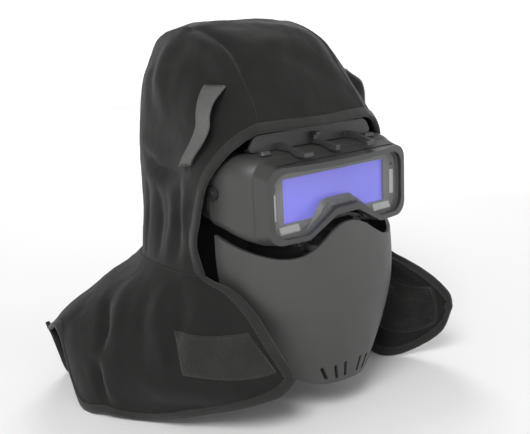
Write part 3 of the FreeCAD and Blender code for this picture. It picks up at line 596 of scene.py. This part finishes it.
def stitches(points, face, length=2.0, gap=1.0, thick=0.3):
    """A run of raised stitches along a line, lying on a surface with these normals."""
    s = np.concatenate([[0], np.cumsum(np.linalg.norm(np.diff(points, axis=0), axis=1))])
    parts = []
    for at in np.arange(gap, s[-1] - length, length + gap):
        ends = [np.array([np.interp(at + length * k, s, points[:, c]) for c in range(3)])
                for k in (0.0, 0.15, 0.5, 0.85, 1.0)]
        n = unit(np.array([np.interp(at + length / 2, s, face[:, c]) for c in range(3)]))
        along = unit(ends[-1] - ends[0])
        across = np.cross(n, along)
        rings = []
        for p, size, lift in zip(ends, (0.35, 0.8, 1.0, 0.8, 0.35), (-0.25, 0.1, 0.22, 0.1, -0.25)):
            rings.append([p + n * lift + across * (c * thick * size) + n * (d * thick * size * 0.8)
                          for c, d in STITCH])
        parts.append(tube(rings))
    return together(parts)


def binding_piece(name, path, replaces):
    """The tape along a path and its own stitches, as two pieces."""
    tape_ = binding(path)
    piece = make(name, *tape_, M["binding_tape"], "hood", "binding_tape", replaces,
                 tape_[0][:, [0, 2]])
    points, out, face = resample(path, 1.6)
    out, face = unit(smooth(out, 6)), unit(smooth(face, 6))
    for tag, height, n in (("outer", 0.78, face), ("inner", -2.66, -face)):
        line = smooth(points, 2) + out * -5.5 + face * height
        run = stitches(line, n)
        make(name + "_stitches_" + tag, *run, M["stitch"], "hood", "binding_tape",
             uv=run[0][:, [0, 2]])
    return piece


brow_path = joined(tuple(a[::-1][:-1] for a in edge("side_right", "left")),
                   tuple(a[::-1][1:-1] for a in edge("crown", "left")),
                   edge("side_left", "left"))
binding_piece("binding_opening", brow_path, ["opening_binding"])
for side in ("right", "left"):
    front = edge("bib_" + side, "first")
    hem = edge("bib_" + side, "right")
    binding_piece("binding_" + side, joined(tuple(a[:-2] for a in front),
                                            tuple(a[2:] for a in hem)), ["hem_binding_" + side])
binding_piece("binding_back", edge("bib_back", "right"), ["hem_binding_back"])


def patch(name, corners, rows, columns, inward=False):
    """Grid on a panel between four (a, b) corners, and which way it faces."""
    s, t = np.meshgrid(np.linspace(0, 1, rows), np.linspace(0, 1, columns), indexing="ij")
    c = np.array(corners, float)
    ab = ((c[0] * (1 - s)[..., None] + c[1] * s[..., None]) * (1 - t)[..., None]
          + (c[3] * (1 - s)[..., None] + c[2] * s[..., None]) * t[..., None])
    base = sample(SHAPED[name], ab[..., 0], ab[..., 1])
    face = unit(sample(FACING[name], ab[..., 0], ab[..., 1]))
    if inward:
        base, face = base - face * CLOTH_T, -face
    return base, face


def rim_of(grid, inset):
    """Line that runs round a grid, so many rows inside its edge."""
    g = grid[inset:-inset, inset:-inset]
    return np.concatenate([g[:, 0], g[-1, 1:], g[::-1, -1][1:], g[0, ::-1][1:]])


def tape_piece(name, base, face, height, texture, material, slot, replaces, inset):
    """A sewn-on tape with its own raised texture and a row of stitches round its edge."""
    rows, columns = base.shape[:2]
    i, j = np.meshgrid(np.arange(rows), np.arange(columns), indexing="ij")
    edge_gap = np.minimum(np.minimum(i, rows - 1 - i), np.minimum(j, columns - 1 - j))
    edge_fade = np.clip((edge_gap - inset) / 3.0, 0, 1)
    rise = height * np.clip(edge_gap / 1.5, 0.35, 1) + texture * edge_fade
    top = base + face * rise[..., None]
    verts, faces = closed_sheet(top, base + face * 0.05)
    uv = sheet_uv(base)
    piece = make(name, verts, faces, material, "hood", slot, replaces, np.concatenate([uv, uv]))
    line = rim_of(top, max(2, inset - 2))
    n = rim_of(face, max(2, inset - 2))
    run = stitches(line, n, 2.0, 1.0, 0.3)
    make(name + "_stitches", *run, M["stitch"], "hood", slot, uv=run[0][:, [0, 2]])
    return piece


base, face = patch("bib_right", ((0.3275, 0.353), (0.055, 0.5), (0.055, 0.86),
                                       (0.34, 0.625)), 190, 72)
hooks = 0.5 * np.abs(rough(base, 1.1, 4.4)) + 0.3 * rough(base, 2.6, 1.4)
pieces["hook_strip"] = tape_piece("hook_strip_tape", base, face, 1.0, hooks, M["hook_tape"],
                                  "hook_tape", ["hook_strip"], 6)
base, face = patch("bib_left", ((0.205, 0.353), (0.03, 0.63), (0.125, 0.86),
                                      (0.42, 0.73)), 120, 90, True)
pile = 0.55 * np.abs(rough(base, 2.2, 7.4)) + 0.5 * rough(base, 5.0, 2.4) + 0.25
pieces["loop_strip"] = tape_piece("loop_strip_tape", base, face, 1.1, pile, M["loop_tape"],
                                  "loop_tape", ["loop_strip"], 7)
base, face = patch("crown", ((0.06, 0.02), (0.94, 0.02), (0.94, 0.09), (0.06, 0.09)),
                         80, 14, True)
pieces["brow_tape"] = tape_piece("brow_tape_tape", base, face, 1.0, 0.3 * rough(base, 2.2, 7.4),
                                 M["loop_tape"], "loop_tape", ["brow_tape"], 3)

# ---- seams -----------------------------------------------------------------------------
seam_runs = []
for name, sides in (("crown", ("first", "last")), ("bib_right", ("left",)), ("bib_left", ("left",)),
                    ("bib_back", ("left",))):
    for side in sides:
        points, out, face = resample(edge(name, side), 1.6)
        out, face = unit(smooth(out, 4)), unit(smooth(face, 4))
        seam_runs.append(stitches(smooth(points, 2) - out * 2.2 + face * 0.15, face, 2.0, 1.2, 0.28))
run = together(seam_runs)
make("seam_stitches", *run, M["stitch"], "hood", "hood_cloth", uv=run[0][:, [0, 2]])

# ---- pull loops ------------------------------------------------------------------------
LOOSE_LOOP = [(65.0, 55.5, 81.1), (69.7, 54.3, 77.3), (76.1, 51.9, 71.6), (81.7, 48.6, 63.2),
              (84.3, 46.5, 53.7), (87.2, 50.4, 43.7), (89.4, 60.4, 31.3), (89.1, 65.7, 24.8)]
FLAT_LOOP = [(63.9, 55.2, 82.2), (69.9, 56.6, 78.4), (76.8, 56.9, 72.3), (82.8, 60.7, 64.6),
             (85.3, 62.7, 55.4), (86.9, 64.4, 46.2), (87.7, 67.5, 37.9), (88.3, 68.8, 27.9)]
LOOP_TURN = [(-0.49, -0.87, -0.05), (-0.35, -0.93, -0.05), (-0.12, -0.99, 0), (0.03, -1.0, 0),
             (0.05, -1.0, 0), (0.05, -0.99, 0.05), (0.05, -0.98, 0.15), (0.05, -0.98, 0.15)]
LOOP_W = 17.0


def webbing(points, mirror):
    """A pull loop of ribbed webbing: outer and inner grids, and its upper side."""
    line, turn = np.array(points, float), np.array(LOOP_TURN)
    rows = [line + turn * (LOOP_W * shift) for shift in np.linspace(-0.5, 0.5, 21)]
    g = catmull(np.array(rows).transpose(1, 0, 2), 22).transpose(1, 0, 2)
    n = unit(np.cross(np.gradient(g, axis=0), np.gradient(g, axis=1)))
    if n[10, 60, 0] < 0:
        n = -n
    i, j = np.meshgrid(np.arange(g.shape[0]), np.arange(g.shape[1]), indexing="ij")
    ribs = 0.16 * np.cos(j * 2 * math.pi / 3.0) * np.where((i > 1) & (i < 19), 1, 0)
    top = g + n * (0.9 + ribs)[..., None]
    low = g + n * (-0.4 + ribs * 0.5)[..., None]
    if mirror:
        flipx = np.array([-1, 1, 1])
        top, low, n, g = top * flipx, low * flipx, n * flipx, g * flipx
    verts, faces = closed_sheet(top, low)
    return verts, faces, sheet_uv(g), top, n


for line, mirror, side in ((FLAT_LOOP, False, "left"), (LOOSE_LOOP, True, "right")):
    verts, faces, uv, top, n = webbing(line, mirror)
    pieces["webbing_" + side] = make("pull_loop_" + side, verts, faces, M["webbing"], "hood",
                                     "webbing", ["webbing_loop_" + side],
                                     np.concatenate([uv, uv]))
    tacks = []
    for j in (3, 5, -6, -4):
        tacks.append(stitches(top[2:-2, j], n[2:-2, j], 1.2, 0.3, 0.4))
    run = together(tacks)
    make("pull_loop_tacks_" + side, *run, M["stitch"], "hood", "webbing", uv=run[0][:, [0, 2]])


# ---- soft parts inside -----------------------------------------------------------------
def softened(name, node, cell, passes, dent, slot, body):
    """A foam or felt piece in the space of its CAD solid: rounded over and a little uneven."""
    source = frame["nodes"][node]
    rounded = bpy.data.objects.new(name + "_form", source.data.copy())
    rounded.matrix_world = source.matrix_world
    bpy.context.scene.collection.objects.link(rounded)
    cells = rounded.modifiers.new("cells", "REMESH")
    cells.mode, cells.voxel_size = "VOXEL", cell
    relax = rounded.modifiers.new("relax", "SMOOTH")
    relax.factor, relax.iterations = 0.5, passes
    mesh = bpy.data.meshes.new_from_object(
        rounded.evaluated_get(bpy.context.evaluated_depsgraph_get()))
    world = rounded.matrix_world
    verts = np.array([world @ v.co for v in mesh.vertices]) * 1000.0 - SHIFT
    outward = np.array([v.normal for v in mesh.vertices])
    faces = [tuple(p.vertices) for p in mesh.polygons]
    verts = verts - outward * (dent * (0.5 + 0.5 * rough(verts, 9.0)))[:, None]
    bpy.data.objects.remove(rounded)
    return make(name, verts, faces, M[slot], body, slot, [node], verts[:, [0, 2]], sharp=180.0)


seal = softened("seal_cushion", "face_seal", 0.0016, 6, 0.5, "seal_foam", "goggles")
chin = softened("chin_cushion", "chin_pad", 0.001, 6, 0.4, "seal_foam", "mask")
baffle = softened("vent_mesh", "vent_baffle", 0.0006, 2, 0.1, "baffle_mesh", "mask")

STRAP_LINE = [(81.2, 66), (78, 92), (72, 122), (62, 148), (42, 173), (24, 180), (0, 181),
              (-24, 180), (-42, 173), (-62, 148), (-72, 122), (-78, 92), (-81.2, 66)]
STRAP_Z, STRAP_W = 6.0, 25.0


def strap():
    """Ribbed elastic band round the back of the head."""
    line = catmull(np.array([(x, y, STRAP_Z) for x, y in STRAP_LINE], float), 30)
    along = unit(np.gradient(line, axis=0))
    out = np.stack([along[:, 1], -along[:, 0], along[:, 2]], axis=1)
    if out[0, 0] < 0:
        out = -out
    height = np.linspace(-0.5, 0.5, 27)
    ribs = 0.12 * np.cos(np.arange(27) * math.pi)
    base = line[None] + np.array([0, 0, STRAP_W]) * height[:, None, None]
    outer = base + out[None] * (-0.1 + ribs)[:, None, None]
    inner = base + out[None] * (-1.5 + ribs)[:, None, None]
    return closed_sheet(outer, inner), sheet_uv(base)


band, band_uv = strap()
strap_piece = make("elastic_band", *band, M["elastic_strap"], "goggles", "elastic_strap",
                   ["head_strap"], np.concatenate([band_uv, band_uv]))

# ---- CAD nodes that show as they are ---------------------------------------------------
slots = {s["node"]: s["material_slot"] for s in frame["record"]["subparts"]}
for name, node in frame["nodes"].items():
    if node.hide_render:
        continue
    node.data.materials.clear()
    node.data.materials.append(M[slots[name]])

# ---- floor, lights, camera -------------------------------------------------------------
def stage():
    """Pale paper floor that rises into a far backdrop and brightens with distance."""
    mesh = bpy.data.meshes.new("floor")
    size, z, wall = 60.0, -0.0002, 12.0
    base = [(-size, -size), (size, -size), (size, size), (-size, size)]
    mesh.from_pydata([(x, y, h) for h in (z, wall) for x, y in base], [],
                     [(0, 1, 2, 3)] + [(k, k + 4, (k + 1) % 4 + 4, (k + 1) % 4) for k in range(4)])
    s = Shader("floor_paper", Roughness=0.9)
    s.set("Base Color", s.ramp(s.noise(3, 3), spread(0.86, 0.01)))
    far = s.add("ShaderNodeVectorMath", {0: s.place}, operation="LENGTH").outputs["Value"]
    s.set("Emission Color", s.ramp(far, [(0.0, (0, 0, 0)), (1.0, (1, 1, 1))]))
    s.set("Emission Strength", s.add("ShaderNodeMapRange", {"Value": far, "From Min": 0.7,
                                                            "From Max": 3.0, "To Min": 0.1,
                                                            "To Max": 0.75}).outputs[0])
    mesh.materials.append(s.material)
    floor = bpy.data.objects.new("floor", mesh)
    bpy.context.scene.collection.objects.link(floor)
    return floor


floor = stage()


def area(name, place, target, size, power, colour=(1, 1, 1)):
    """A rectangular studio lamp aimed at a point."""
    data = bpy.data.lights.new(name, "AREA")
    data.shape, data.size, data.size_y = "RECTANGLE", size[0], size[1]
    data.energy, data.color = power, colour
    lamp = bpy.data.objects.new(name, data)
    lamp.location = place
    lamp.rotation_euler = (Vector(target) - Vector(place)).to_track_quat("-Z", "Y").to_euler()
    bpy.context.scene.collection.objects.link(lamp)


area("key", (-1.1, -0.9, 1.5), (0, 0, 0.15), (0.8, 0.8), 26)
area("fill", (1.3, -1.2, 0.8), (0, 0, 0.15), (0.6, 1.0), 4)
area("rim", (0.9, 1.3, 1.1), (0, 0, 0.2), (0.8, 0.8), 14)
world = bpy.data.worlds.new("studio")
world.use_nodes = True
world.node_tree.nodes["Background"].inputs["Color"].default_value = (1, 1, 1, 1)
world.node_tree.nodes["Background"].inputs["Strength"].default_value = 0.4
bpy.context.scene.world = world
bpy.context.scene.view_settings.view_transform = "Standard"

AZ, EL, ROLL = math.radians(-37.76), math.radians(14.45), math.radians(-2.83)
back = Vector((math.sin(AZ) * math.cos(EL), -math.cos(AZ) * math.cos(EL), math.sin(EL)))
side = Vector((math.cos(AZ), math.sin(AZ), 0))
up = back.cross(side)
right = math.cos(ROLL) * side + math.sin(ROLL) * up
upward = -math.sin(ROLL) * side + math.cos(ROLL) * up
place = back * 595.272 + right * -53.04 + upward * -19.584
data = bpy.data.cameras.new("camera")
data.sensor_width, data.lens = 36.0, 54.34
camera = bpy.data.objects.new("camera", data)
rotation = Matrix((right, upward, back)).transposed().to_4x4()
camera.matrix_world = Matrix.Translation(metres(place)) @ rotation
bpy.context.scene.collection.objects.link(camera)
bpy.context.scene.camera = camera
